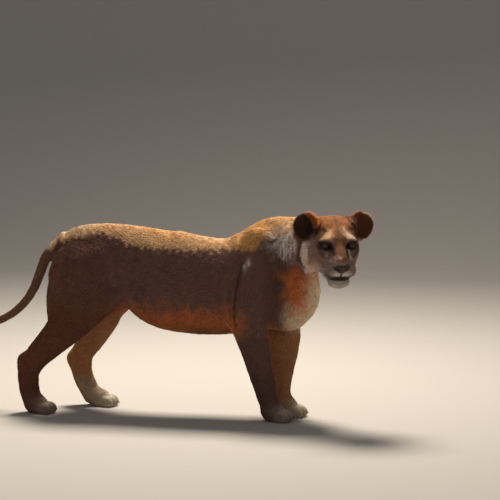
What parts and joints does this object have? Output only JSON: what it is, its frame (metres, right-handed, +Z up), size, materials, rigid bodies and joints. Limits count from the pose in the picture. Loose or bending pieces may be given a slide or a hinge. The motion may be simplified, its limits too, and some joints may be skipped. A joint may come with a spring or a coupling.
{
  "type": "lioness model",
  "caption": "Life-size lioness standing still with her head turned to her right, a display model of one animal in one pose.",
  "frame": {"origin": "middle of the box around her, on the ground under her paws", "axes": "+X the way her body faces, from tail to chest; +Y to her left; +Z up"},
  "size_m": [2.2514, 0.4562, 1.0161],
  "materials": {
    "coat": "short dense tawny fur",
    "pale_coat": "short cream fur of the chin",
    "dark_coat": "longer blackish-brown fur of the tail tuft",
    "nose_skin": "bare damp dark skin",
    "eye": "glossy amber eye"
  },
  "bodies": {
    "root": {"head": "coat", "lower_jaw": "pale_coat", "nose": "nose_skin", "neck": "coat", "ear_right": "coat", "ear_left": "coat", "eye_right": "eye", "eye_left": "eye", "chest": "coat", "belly": "coat", "hips": "coat", "fore_right_upper": "coat", "fore_right_forearm": "coat", "fore_right_paw": "coat", "hind_right_thigh": "coat", "hind_right_shank": "coat", "hind_right_foot": "coat", "hind_right_paw": "coat", "fore_left_upper": "coat", "fore_left_forearm": "coat", "fore_left_paw": "coat", "hind_left_thigh": "coat", "hind_left_shank": "coat", "hind_left_foot": "coat", "hind_left_paw": "coat", "tail_1": "coat", "tail_2": "coat", "tail_3": "coat", "tail_4": "coat", "tail_tuft": "dark_coat"}
  },
  "joints": []
}
